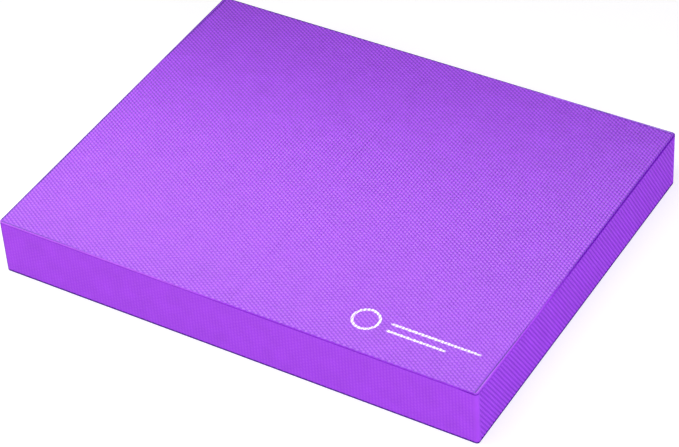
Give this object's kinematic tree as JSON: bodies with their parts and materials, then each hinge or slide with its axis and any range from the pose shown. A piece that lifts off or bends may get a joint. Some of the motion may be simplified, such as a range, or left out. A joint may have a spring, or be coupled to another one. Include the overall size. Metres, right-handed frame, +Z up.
{
  "type": "balance pad",
  "caption": "Rectangular closed-cell foam balance pad with a moulded skin, softly rounded edges and a small printed mark.",
  "frame": {"origin": "centre of the underside, on the surface that the pad lies on", "axes": "+X along the long side, +Y along the short side, +Z up through the thickness; the printed mark is near the +X, -Y corner of the top"},
  "size_m": [0.476, 0.375, 0.057],
  "materials": {
    "foam_skin": "matte",
    "foam_core": "matte",
    "print_ink": "matte"
  },
  "bodies": {
    "root": {"top_skin": "foam_skin", "side_skin": "foam_skin", "bottom_skin": "foam_skin", "core_ply_1": "foam_core", "core_ply_2": "foam_core", "core_ply_3": "foam_core", "core_ply_4": "foam_core", "core_ply_5": "foam_core", "core_ply_6": "foam_core", "core_ply_7": "foam_core", "print_ring": "print_ink", "print_bar_long": "print_ink", "print_bar_short": "print_ink"}
  },
  "joints": []
}
